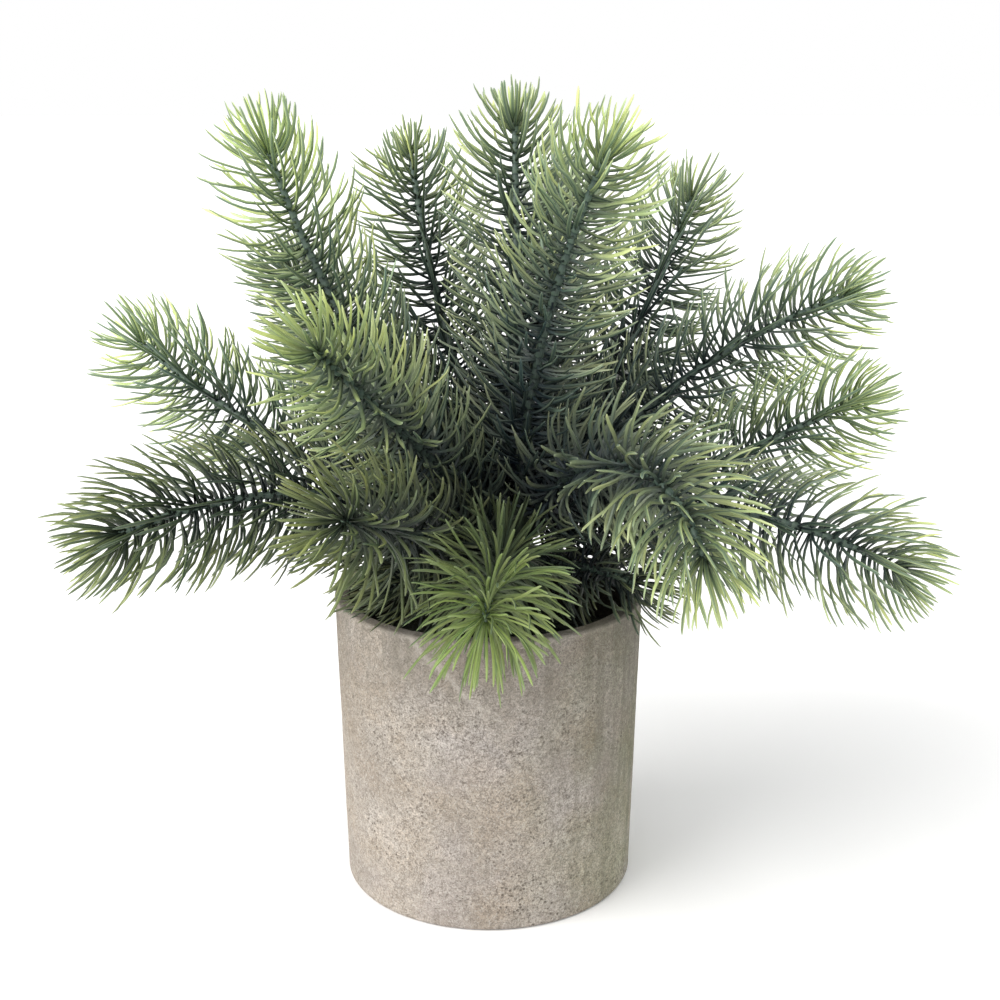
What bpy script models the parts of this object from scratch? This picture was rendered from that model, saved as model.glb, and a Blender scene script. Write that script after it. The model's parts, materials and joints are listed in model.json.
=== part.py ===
"""Artificial tabletop tree: a paper-pulp pot, weighted and packed with dyed fibre, that holds
one taped wire trunk carrying a rosette of bendable moulded fir sprigs.

Units are metres, +Z is up.  The origin is the centre of the pot's foot.
The front of the tree faces -Y.

Each sprig is a wire stem with a moulded needle sleeve pushed over it.  A sprig bends at
its root, where the bare wire leaves the tape of the trunk, so its parent empty sits there
with its local X along the sprig's heading and its local Y along the bending axis.
"""
import math

import bmesh
import bpy
import numpy as np
from mathutils import Matrix, Vector

# ------------------------------------------------------------------ driving dimensions
POT_HEIGHT = 0.116
POT_RIM_RADIUS = 0.060
POT_FOOT_RADIUS = 0.0572
POT_WALL = 0.006
POT_FLOOR = 0.006
RIM_ROUND = 0.0012            # softened rim edges
FOOT_ROUND = 0.0013           # softened foot edge
GAP = 0.0003                  # clearance between pieces that touch

BALLAST_TOP = 0.030           # cast weight in the bottom of the pot
FIBRE_TOP = 0.098              # packed fibre ends this high, 18 mm below the rim

TRUNK_X = 0.010               # the trunk is planted a little to the right of centre
TRUNK_CORE_RADIUS = 0.0025    # steel rod
TRUNK_RADIUS = 0.0057         # over the tape
TRUNK_TOP = 0.150
TAPE_CAP = 0.0010             # tape folded over the end of the rod

STEM_RADIUS = 0.0019          # coated wire at the root
STEM_TIP_RADIUS = 0.0013
SIDE_ROOT = TRUNK_RADIUS + STEM_RADIUS + 0.0004   # root centres on the trunk's side
TOP_ROOT = 0.0034             # root centres on the trunk's end
TOP_ROOT_Z = TRUNK_TOP + STEM_RADIUS + 0.0004

SLEEVE_START = 0.020          # a needle sleeve starts this far along the stem or beyond
SLEEVE_LEAST = 0.0036         # room that a sleeve needs round the stem where it starts
BRUSH_RADIUS = 0.0210         # needle brush, measured square to the stem
BRUSH_ROOT_RADIUS = 0.0050
BRUSH_GROWTH = 0.055          # length over which the brush opens to its full radius
BRUSH_TIP = 0.018             # needles run on past the end of the wire
TIER = 0.018                  # pitch of the whorls in the brush
BORE_CLEAR = 0.00055          # radial clearance of the sleeve's bore over the wire
NEIGHBOUR_CLEAR = 0.0007      # half the smallest gap left between two brushes
POT_CLEAR = 0.0012            # smallest gap left between a brush and the pot

STATIONS = 11                 # rings along a stem

# One row for each sprig: heading round the trunk (degrees from +X, anticlockwise), turn of
# the heading along its length, rise at the root, rise at the tip, wire length, root
# height, and how far it bends down and up.  A height of None puts the root on the
# trunk's end, at the bearing given last.
SPRIGS = [
    # name        heading turn rise0 rise1 length  root z  down  up  bearing
    ("sprig_01", 176, -16, 48, 70, 0.168, 0.140, 10, 10, None),
    ("sprig_02", 122, -14, 46, 64, 0.158, None, 10, 10, 178),
    ("sprig_03", 96, -6, 89, 68, 0.144, None, 14, 2, 62),
    ("sprig_04", -46, 4, 85, 61, 0.136, None, 14, 2, -60),
    ("sprig_05", 53, 3, 33, 51, 0.174, 0.1435, 10, 10, None),
    ("sprig_06", 41, -29, 42, 17, 0.175, 0.1360, 10, 8, None),
    ("sprig_07", 14, 1, 23, 20, 0.146, 0.130, 10, 10, None),
    ("sprig_08", -41, -30, 63, -50, 0.120, 0.143, 8, 12, None),
    ("sprig_09", -11, -8, 16, -25, 0.140, 0.146, 10, 15, None),
    ("sprig_10", 160, -8, 17, 31, 0.179, 0.130, 10, 10, None),
    ("sprig_11", 192, 3, 33, -23, 0.148, 0.135, 12, 12, None),
    ("sprig_12", 208, 37, 49, 34, 0.119, 0.142, 10, 10, None),
    ("sprig_13", 230, 19, 22, 19, 0.109, 0.132, 8, 10, None),
    ("sprig_14", 262, 4, 9, -6, 0.095, 0.137, 5, 12, None),
    ("sprig_15", 128, 0, 36, 8, 0.150, 0.131, 10, 10, None),
    ("sprig_16", 98, 4, 26, -12, 0.140, 0.130, 10, 15, None),
    ("sprig_17", 68, 0, 30, 4, 0.150, 0.131, 10, 12, None),
    ("sprig_18", 80, -8, 56, 46, 0.150, 0.146, 8, 8, None),
    ("sprig_19", 144, 0, 44, 34, 0.135, 0.146, 8, 8, None),
    ("sprig_20", -35, 0, 8, -10, 0.047, 0.129, 4, 8, None),
    ("sprig_21", 214, 6, 10, -8, 0.047, 0.128, 4, 8, None),
]

# ------------------------------------------------------------------ clean start
for obj in list(bpy.data.objects):
    bpy.data.objects.remove(obj, do_unlink=True)
for block in (bpy.data.meshes, bpy.data.curves, bpy.data.materials):
    for item in list(block):
        block.remove(item)
for coll in list(bpy.data.collections):
    bpy.data.collections.remove(coll)

PARTS = bpy.data.collections.new("tabletop_tree")
CUTTERS = bpy.data.collections.new("cutters")
bpy.context.scene.collection.children.link(PARTS)
bpy.context.scene.collection.children.link(CUTTERS)


def principled(name, colour, roughness, metallic=0.0):
    mat = bpy.data.materials.new(name)
    mat.use_nodes = True
    bsdf = mat.node_tree.nodes["Principled BSDF"]
    bsdf.inputs["Base Color"].default_value = (*colour, 1.0)
    bsdf.inputs["Roughness"].default_value = roughness
    bsdf.inputs["Metallic"].default_value = metallic
    return mat


MAT_POT = principled("pulp_grey", (0.42, 0.38, 0.32), 0.85)
MAT_BALLAST = principled("cast_cement", (0.35, 0.34, 0.32), 0.9)
MAT_FIBRE = principled("dark_fibre", (0.03, 0.045, 0.03), 0.95)
MAT_STEEL = principled("wire_steel", (0.45, 0.45, 0.46), 0.4, 1.0)
MAT_TAPE = principled("floral_tape", (0.05, 0.07, 0.04), 0.8)
MAT_STEM = principled("stem_green", (0.045, 0.075, 0.055), 0.55)
MAT_NEEDLE = principled("needle_green", (0.10, 0.19, 0.08), 0.5)


def place(obj, coll, mat):
    for owner in list(obj.users_collection):
        owner.objects.unlink(obj)
    coll.objects.link(obj)
    obj.data.materials.clear()
    obj.data.materials.append(mat)
    return obj


def round_shading(obj, angle=40.0):
    obj.data.shade_smooth()
    obj.data.set_sharp_from_angle(angle=math.radians(angle))


# ------------------------------------------------------------------ turned and plain pieces
def turned(name, profile, steps, mat):
    """A solid of revolution: the profile runs from the axis out, over the top and down."""
    mesh = bpy.data.meshes.new(name)
    mesh.from_pydata([(r, 0.0, z) for r, z in profile],
                     [(i, i + 1) for i in range(len(profile) - 1)], [])
    obj = bpy.data.objects.new(name, mesh)
    PARTS.objects.link(obj)
    mesh.materials.append(mat)
    screw = obj.modifiers.new("turn", "SCREW")
    screw.axis = "Z"
    screw.steps = screw.render_steps = steps
    screw.use_merge_vertices = True
    screw.merge_threshold = 0.00001
    screw.use_smooth_shade = True
    return obj


def corner(r0, z0, r1, z1, bulge_r, bulge_z, n=3):
    """Points of a quarter round from (r0, z0) to (r1, z1) about the corner given."""
    pts = []
    for i in range(n + 1):
        t = i / n
        a, b, c = (1 - t) ** 2, 2 * t * (1 - t), t * t
        pts.append((a * r0 + b * bulge_r + c * r1, a * z0 + b * bulge_z + c * z1))
    return pts


def pot_radius(z):
    return POT_FOOT_RADIUS + (POT_RIM_RADIUS - POT_FOOT_RADIUS) * z / POT_HEIGHT


def build_pot():
    inner = lambda z: pot_radius(z) - POT_WALL
    top, rr = POT_HEIGHT, RIM_ROUND
    prof = [(0.0, POT_FLOOR), (inner(POT_FLOOR), POT_FLOOR)]
    prof += [(inner(z), z) for z in (0.040, 0.078)]
    prof += corner(inner(top - rr), top - rr, inner(top) + rr, top, inner(top), top, 2)
    prof += corner(POT_RIM_RADIUS - rr, top, pot_radius(top - rr), top - rr,
                   POT_RIM_RADIUS, top, 2)
    prof += [(pot_radius(z), z) for z in (0.078, 0.040)]
    prof += corner(pot_radius(FOOT_ROUND), FOOT_ROUND, POT_FOOT_RADIUS - FOOT_ROUND, 0.0,
                   POT_FOOT_RADIUS, 0.0, 3)
    prof += [(0.0, 0.0)]
    obj = turned("pot", prof, 48, MAT_POT)
    return obj


def build_disc(name, z0, z1, mat, edge, hole=None):
    """A plug that follows the pot's inner taper, with softened ends and an optional bore."""
    bm = bmesh.new()
    bmesh.ops.create_cone(bm, cap_ends=True, cap_tris=False, segments=40,
                          radius1=pot_radius(z0) - POT_WALL - 0.0004,
                          radius2=pot_radius(z1) - POT_WALL - 0.0004, depth=z1 - z0)
    mesh = bpy.data.meshes.new(name)
    bm.to_mesh(mesh)
    bm.free()
    obj = bpy.data.objects.new(name, mesh)
    obj.location = (0.0, 0.0, 0.5 * (z0 + z1))
    PARTS.objects.link(obj)
    mesh.materials.append(mat)
    bev = obj.modifiers.new("edge", "BEVEL")
    bev.width = edge
    bev.segments = 2
    bev.limit_method = "ANGLE"
    bev.angle_limit = math.radians(50)
    if hole is not None:
        cut = cylinder(name + "_cutter", hole, z0 - 0.005, z1 + 0.005, CUTTERS, mat, 16)
        subtract(obj, cut)
    round_shading(obj)
    return obj


def cylinder(name, radius, z0, z1, coll, mat, segments=24):
    bm = bmesh.new()
    bmesh.ops.create_cone(bm, cap_ends=True, cap_tris=False, segments=segments,
                          radius1=radius, radius2=radius, depth=z1 - z0)
    mesh = bpy.data.meshes.new(name)
    bm.to_mesh(mesh)
    bm.free()
    obj = bpy.data.objects.new(name, mesh)
    obj.location = (TRUNK_X, 0.0, 0.5 * (z0 + z1))
    coll.objects.link(obj)
    mesh.materials.append(mat)
    if coll is CUTTERS:
        obj.hide_render = True
        obj.display_type = "WIRE"
    return obj


def subtract(obj, cutter):
    mod = obj.modifiers.new("bore", "BOOLEAN")
    mod.operation = "DIFFERENCE"
    mod.solver = "EXACT"
    mod.object = cutter


build_pot()
build_disc("ballast", POT_FLOOR + GAP, BALLAST_TOP, MAT_BALLAST, 0.0015)
build_disc("fibre_plug", BALLAST_TOP + GAP, FIBRE_TOP, MAT_FIBRE, 0.0020,
           TRUNK_CORE_RADIUS + 0.0004)

core_top = TRUNK_TOP - TAPE_CAP - GAP
core = cylinder("trunk_rod", TRUNK_CORE_RADIUS, BALLAST_TOP + 2 * GAP, core_top, PARTS,
                MAT_STEEL, 16)
round_shading(core)

tape = cylinder("trunk_tape", TRUNK_RADIUS, FIBRE_TOP + GAP, TRUNK_TOP, PARTS, MAT_TAPE, 24)
bev = tape.modifiers.new("edge", "BEVEL")
bev.width = 0.0006
bev.segments = 1
bev.limit_method = "ANGLE"
bev.angle_limit = math.radians(50)
subtract(tape, cylinder("trunk_tape_cutter", TRUNK_CORE_RADIUS + 0.0004, FIBRE_TOP - 0.004,
                        TRUNK_TOP - TAPE_CAP, CUTTERS, MAT_TAPE, 16))
round_shading(tape)


# ------------------------------------------------------------------ sprig geometry
def sprig_curve(row, count):
    """Points and headings along a stem, in the frame of its pivot (X along the heading)."""
    _, _, turn, rise0, rise1, length = row[:6]
    t = np.linspace(0.0, 1.0, count)
    head = np.radians(turn * t)
    rise = np.radians(rise0 + (rise1 - rise0) * t)
    d = np.stack([np.cos(rise) * np.cos(head), np.cos(rise) * np.sin(head), np.sin(rise)], 1)
    p = np.zeros((count, 3))
    p[1:] = np.cumsum(0.5 * (d[1:] + d[:-1]) * length / (count - 1), axis=0)
    return p, d


def root_of(row):
    heading, root_z, bearing = row[1], row[6], row[9]
    if root_z is None:
        a = math.radians(bearing)
        return np.array([TRUNK_X + TOP_ROOT * math.cos(a), TOP_ROOT * math.sin(a), TOP_ROOT_Z])
    a = math.radians(heading)
    return np.array([TRUNK_X + SIDE_ROOT * math.cos(a), SIDE_ROOT * math.sin(a), root_z])


FINE = 46                     # samples along a stem and its needle tip, for clearances


def fine_line(row):
    """World points along the stem and on through the brush's tip, with their distances."""
    p, d = sprig_curve(row, FINE)
    s = np.linspace(0.0, row[5], FINE)
    over = np.linspace(0.0, BRUSH_TIP, 6)[1:]
    p = np.vstack([p, p[-1] + over[:, None] * d[-1]])
    s = np.concatenate([s, row[5] + over])
    a = math.radians(row[1])
    turn = np.array([[math.cos(a), -math.sin(a), 0.0], [math.sin(a), math.cos(a), 0.0],
                     [0.0, 0.0, 1.0]])
    return p @ turn.T + root_of(row), s


def bent(points, row, degrees):
    """The points with the sprig bent up by so many degrees about its root."""
    a = math.radians(row[1])
    axis = Vector((math.sin(a), -math.cos(a), 0.0))
    m = np.array(Matrix.Rotation(math.radians(degrees), 3, axis))
    o = root_of(row)
    return (points - o) @ m.T + o


def pot_distance(points):
    """Distance of each point from the pot's wall and the fibre inside it."""
    r = np.hypot(points[:, 0], points[:, 1])
    z = points[:, 2]
    rim_in, rim_out = POT_RIM_RADIUS - POT_WALL, POT_RIM_RADIUS
    dr = np.maximum(np.maximum(rim_in - r, r - rim_out), 0.0)
    dz = np.maximum(z - POT_HEIGHT, 0.0)
    wall = np.hypot(dr, dz)
    fill = np.where(r < rim_in, z - FIBRE_TOP, 1.0)
    return np.minimum(wall, fill)


def brush_rooms():
    """Room round each stem: half the distance to its neighbours, and clear of the pot,
    over every bend of either sprig and with all of them bent down or up together."""
    lines = {row[0]: fine_line(row) for row in SPRIGS}
    room = {row[0]: np.full(len(lines[row[0]][1]), 1.0) for row in SPRIGS}

    def meet(a, pa, b, pb):
        gap = np.linalg.norm(pa[:, None] - pb[None], axis=2)
        room[a] = np.minimum(room[a], 0.5 * gap.min(axis=1) - NEIGHBOUR_CLEAR)
        room[b] = np.minimum(room[b], 0.5 * gap.min(axis=0) - NEIGHBOUR_CLEAR)

    bends = {row[0]: np.linspace(-row[7], row[8], 5) for row in SPRIGS}
    for i, ra in enumerate(SPRIGS):
        pa = lines[ra[0]][0]
        for k in bends[ra[0]]:
            room[ra[0]] = np.minimum(room[ra[0]], pot_distance(bent(pa, ra, k)) - POT_CLEAR)
        for rb in SPRIGS[i + 1:]:
            pb = lines[rb[0]][0]
            for k in bends[ra[0]]:
                meet(ra[0], bent(pa, ra, k), rb[0], pb)
            for k in bends[rb[0]]:
                meet(ra[0], pa, rb[0], bent(pb, rb, k))
            meet(ra[0], bent(pa, ra, -ra[7]), rb[0], bent(pb, rb, -rb[7]))
            meet(ra[0], bent(pa, ra, ra[8]), rb[0], bent(pb, rb, rb[8]))
    return {k: (lines[k][1], v) for k, v in room.items()}


def smooth(t):
    t = min(max(t, 0.0), 1.0)
    return t * t * (3.0 - 2.0 * t)


def sleeve_start(room):
    """The first place on the stem, from SLEEVE_START on, with room for a sleeve."""
    return float(min(s for s, r in zip(*room) if s >= SLEEVE_START and r >= SLEEVE_LEAST))


def brush_radius(row, room, s):
    """Radius of the needle brush at a distance s along the stem."""
    length = row[5]
    r = BRUSH_ROOT_RADIUS + (BRUSH_RADIUS - BRUSH_ROOT_RADIUS) * smooth(
        (s - SLEEVE_START) / BRUSH_GROWTH)
    r *= 1.0 - 0.45 * smooth((s - (length - 0.012)) / (0.012 + BRUSH_TIP))
    return min(r, float(np.interp(s, room[0], room[1])))


def tube(name, points, radii, sides_res, mat):
    """A closed round tube through the points, as a mesh, with its caps welded."""
    cu = bpy.data.curves.new(name, "CURVE")
    cu.dimensions = "3D"
    cu.bevel_depth = 1.0
    cu.bevel_resolution = sides_res
    cu.use_fill_caps = True
    sp = cu.splines.new("POLY")
    sp.points.add(len(points) - 1)
    for q, p, r in zip(sp.points, points, radii):
        q.co = (p[0], p[1], p[2], 1.0)
        q.radius = r
    tmp = bpy.data.objects.new(name + "_curve", cu)
    PARTS.objects.link(tmp)
    bpy.context.view_layer.update()
    mesh = bpy.data.meshes.new_from_object(
        tmp.evaluated_get(bpy.context.evaluated_depsgraph_get()))
    mesh.name = name
    bpy.data.objects.remove(tmp, do_unlink=True)
    bpy.data.curves.remove(cu)
    bm = bmesh.new()
    bm.from_mesh(mesh)
    bmesh.ops.remove_doubles(bm, verts=bm.verts, dist=0.00001)
    bmesh.ops.recalc_face_normals(bm, faces=bm.faces)
    bm.to_mesh(mesh)
    bm.free()
    mesh.materials.clear()
    mesh.materials.append(mat)
    return bpy.data.objects.new(name, mesh)


def at_length(points, dirs, length, s):
    """A point at distance s along a stem, running straight on past its end."""
    if s >= length:
        return points[-1] + (s - length) * dirs[-1]
    u = s / length * (len(points) - 1)
    i = min(int(u), len(points) - 2)
    return points[i] + (u - i) * (points[i + 1] - points[i])


def build_sprig(row, room):
    name, heading, length = row[0], row[1], row[5]
    pivot = bpy.data.objects.new(name + "_pivot", None)
    pivot.empty_display_size = 0.01
    pivot.location = root_of(row)
    pivot.rotation_euler = (0.0, 0.0, math.radians(heading))
    PARTS.objects.link(pivot)

    pts, dirs = sprig_curve(row, STATIONS)
    dist = np.linspace(0.0, length, STATIONS)
    taper = STEM_RADIUS + (STEM_TIP_RADIUS - STEM_RADIUS) * dist / length

    # stem: a ball end about the pivot, then the wire, rounded off at its tip
    ball = [(-math.sqrt(max(STEM_RADIUS ** 2 - r * r, 0.0)), r)
            for r in (0.32 * STEM_RADIUS, 0.78 * STEM_RADIUS)]
    line = [pts[0] + dirs[0] * b for b, _ in ball] + [p for p in pts[:-1]]
    rad = [r for _, r in ball] + list(taper[:-1])
    line += [at_length(pts, dirs, length, length - 0.0006), pts[-1]]
    rad += [STEM_TIP_RADIUS, 0.5 * STEM_TIP_RADIUS]
    stem = tube(name + "_stem", line, rad, 2, MAT_STEM)
    PARTS.objects.link(stem)
    stem.parent = pivot
    round_shading(stem, 50)

    # needle sleeve: whorls that open towards the tip, bored for the wire
    marks, radii = [], []
    start, end = sleeve_start(room), length + BRUSH_TIP
    tiers = max(3, round((end - start) / TIER))
    pitch = (end - start) / tiers
    for k in range(tiers):
        s0 = start + k * pitch
        r0, r1 = brush_radius(row, room, s0), brush_radius(row, room, s0 + 0.8 * pitch)
        small = max(0.46 * min(r0, r1), SLEEVE_LEAST - 0.0002)
        marks += [s0 + (0.0 if k == 0 else 0.06 * pitch), s0 + 0.84 * pitch]
        radii += [small, max(min(r1, brush_radius(row, room, s0 + 0.84 * pitch)), small)]
    marks.append(end)
    radii.append(0.55 * radii[-1])
    sleeve = tube(name + "_needles", [at_length(pts, dirs, length, s) for s in marks],
                  radii, 2, MAT_NEEDLE)
    PARTS.objects.link(sleeve)
    sleeve.parent = pivot

    # the bore follows the same stations as the wire and stops just past its end
    before = start - 0.005
    bore_line = [at_length(pts, dirs, length, before)]
    bore_rad = [float(np.interp(before, dist, taper)) + BORE_CLEAR]
    for i in range(STATIONS):
        if dist[i] > before + 0.001:
            bore_line.append(pts[i])
            bore_rad.append(taper[i] + BORE_CLEAR)
    bore_line.append(at_length(pts, dirs, length, length + 0.0008))
    bore_rad.append(STEM_TIP_RADIUS + BORE_CLEAR)
    bore = tube(name + "_cutter", bore_line, bore_rad, 2, MAT_NEEDLE)
    CUTTERS.objects.link(bore)
    bore.parent = pivot
    bore.hide_render = True
    bore.display_type = "WIRE"
    subtract(sleeve, bore)
    round_shading(sleeve, 35)


ROOMS = brush_rooms()
for sprig in SPRIGS:
    build_sprig(sprig, ROOMS[sprig[0]])
bpy.context.view_layer.update()
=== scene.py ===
import json
import math
import random

import bmesh
import bpy
import numpy as np
from mathutils import Matrix, Vector, noise


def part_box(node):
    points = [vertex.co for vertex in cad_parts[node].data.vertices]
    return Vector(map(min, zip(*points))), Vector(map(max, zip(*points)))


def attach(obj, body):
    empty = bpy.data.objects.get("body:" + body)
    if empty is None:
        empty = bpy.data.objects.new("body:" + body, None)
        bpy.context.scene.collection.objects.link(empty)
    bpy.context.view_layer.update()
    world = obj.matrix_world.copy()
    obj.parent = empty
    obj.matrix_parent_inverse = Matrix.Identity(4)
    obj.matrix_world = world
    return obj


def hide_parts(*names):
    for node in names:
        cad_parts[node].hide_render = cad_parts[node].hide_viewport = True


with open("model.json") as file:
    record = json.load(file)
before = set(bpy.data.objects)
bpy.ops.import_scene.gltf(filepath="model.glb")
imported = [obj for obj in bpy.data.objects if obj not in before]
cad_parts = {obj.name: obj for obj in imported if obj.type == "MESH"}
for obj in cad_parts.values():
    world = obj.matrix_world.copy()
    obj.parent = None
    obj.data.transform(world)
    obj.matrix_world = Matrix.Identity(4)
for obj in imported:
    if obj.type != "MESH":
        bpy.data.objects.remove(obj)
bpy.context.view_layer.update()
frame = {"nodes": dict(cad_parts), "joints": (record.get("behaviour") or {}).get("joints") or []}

MM = 0.001

# ------------------------------------------------------------------------------ camera
cam_data = bpy.data.cameras.new("camera")
cam = bpy.data.objects.new("camera", cam_data)
bpy.context.scene.collection.objects.link(cam)
cam_data.sensor_width = 36.0
cam_data.lens = 36.0 * 1.48
cam_data.clip_start = 0.01
cam_data.clip_end = 100.0
cam.location = (0.0, -0.551, 0.299)
cam.rotation_euler = (math.radians(90.0) - 0.261, 0.0, -math.atan(12.2 / 1480.0))
bpy.context.scene.camera = cam


# ------------------------------------------------------------------------------ helpers
def node_material(name, base, rough, metallic=0.0):
    mat = bpy.data.materials.new(name)
    mat.use_nodes = True
    nt = mat.node_tree
    bsdf = nt.nodes["Principled BSDF"]
    bsdf.inputs["Base Color"].default_value = (*base, 1.0)
    bsdf.inputs["Roughness"].default_value = rough
    bsdf.inputs["Metallic"].default_value = metallic
    return mat, nt, bsdf


def add(nt, kind, **props):
    n = nt.nodes.new(kind)
    for k, v in props.items():
        setattr(n, k, v)
    return n


def ramp(nt, stops, source, interpolation="LINEAR"):
    """A colour ramp of (place, colour or grey) stops fed by a socket."""
    n = nt.nodes.new("ShaderNodeValToRGB")
    n.color_ramp.interpolation = interpolation
    els = n.color_ramp.elements
    while len(els) < len(stops):
        els.new(0.5)
    for e, (p, c) in zip(els, stops):
        e.position = p
        e.color = (*c, 1.0) if isinstance(c, tuple) else (c, c, c, 1.0)
    nt.links.new(source, n.inputs["Fac"])
    return n.outputs["Color"]


def mix(nt, a, b, fac, blend="MIX"):
    """Mixes two colours; each of a, b and fac is a socket, a colour or a number."""
    n = nt.nodes.new("ShaderNodeMix")
    n.data_type = "RGBA"
    n.blend_type = blend
    for key, val in (("Factor", fac), ("A", a), ("B", b)):
        sock = [s for s in n.inputs if s.name == key and s.enabled][0]
        if isinstance(val, bpy.types.NodeSocket):
            nt.links.new(val, sock)
        elif isinstance(val, tuple):
            sock.default_value = (*val, 1.0)
        else:
            sock.default_value = val
    return [s for s in n.outputs if s.enabled][0]


def maths(nt, op, a, b=None, clamp=False):
    n = nt.nodes.new("ShaderNodeMath")
    n.operation = op
    n.use_clamp = clamp
    for i, val in enumerate((a, b)):
        if val is None:
            continue
        if isinstance(val, bpy.types.NodeSocket):
            nt.links.new(val, n.inputs[i])
        else:
            n.inputs[i].default_value = val
    return n.outputs[0]


def coords(nt, scale=(1.0, 1.0, 1.0), rot=(0.0, 0.0, 0.0)):
    tc = nt.nodes.new("ShaderNodeTexCoord")
    mp = nt.nodes.new("ShaderNodeMapping")
    mp.inputs["Scale"].default_value = scale
    mp.inputs["Rotation"].default_value = rot
    nt.links.new(tc.outputs["Object"], mp.inputs["Vector"])
    return mp.outputs["Vector"]


def tex_noise(nt, vec, scale, detail=4.0, rough=0.55, distortion=0.0):
    n = nt.nodes.new("ShaderNodeTexNoise")
    n.inputs["Scale"].default_value = scale
    n.inputs["Detail"].default_value = detail
    n.inputs["Roughness"].default_value = rough
    n.inputs["Distortion"].default_value = distortion
    nt.links.new(vec, n.inputs["Vector"])
    return n.outputs["Fac"]


def tex_voronoi(nt, vec, scale, feature="F1", randomness=1.0):
    n = nt.nodes.new("ShaderNodeTexVoronoi")
    n.feature = feature
    n.inputs["Scale"].default_value = scale
    n.inputs["Randomness"].default_value = randomness
    nt.links.new(vec, n.inputs["Vector"])
    return n.outputs["Distance"]


def attribute(nt, name):
    n = nt.nodes.new("ShaderNodeAttribute")
    n.attribute_name = name
    sep = nt.nodes.new("ShaderNodeSeparateColor")
    nt.links.new(n.outputs["Color"], sep.inputs["Color"])
    return sep.outputs["Red"], sep.outputs["Green"], sep.outputs["Blue"]


def bump(nt, bsdf, height, strength, distance, before=None):
    n = nt.nodes.new("ShaderNodeBump")
    n.inputs["Strength"].default_value = strength
    n.inputs["Distance"].default_value = distance
    nt.links.new(height, n.inputs["Height"])
    if before is not None:
        nt.links.new(before, n.inputs["Normal"])
    nt.links.new(n.outputs["Normal"], bsdf.inputs["Normal"])
    return n.outputs["Normal"]


def mesh_object(name, verts, faces, mat, smooth=True):
    me = bpy.data.meshes.new(name)
    me.from_pydata([tuple(map(float, v)) for v in verts], [], [tuple(map(int, f)) for f in faces])
    me.materials.append(mat)
    if smooth:
        me.shade_smooth()
    ob = bpy.data.objects.new(name, me)
    bpy.context.scene.collection.objects.link(ob)
    return ob


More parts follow.
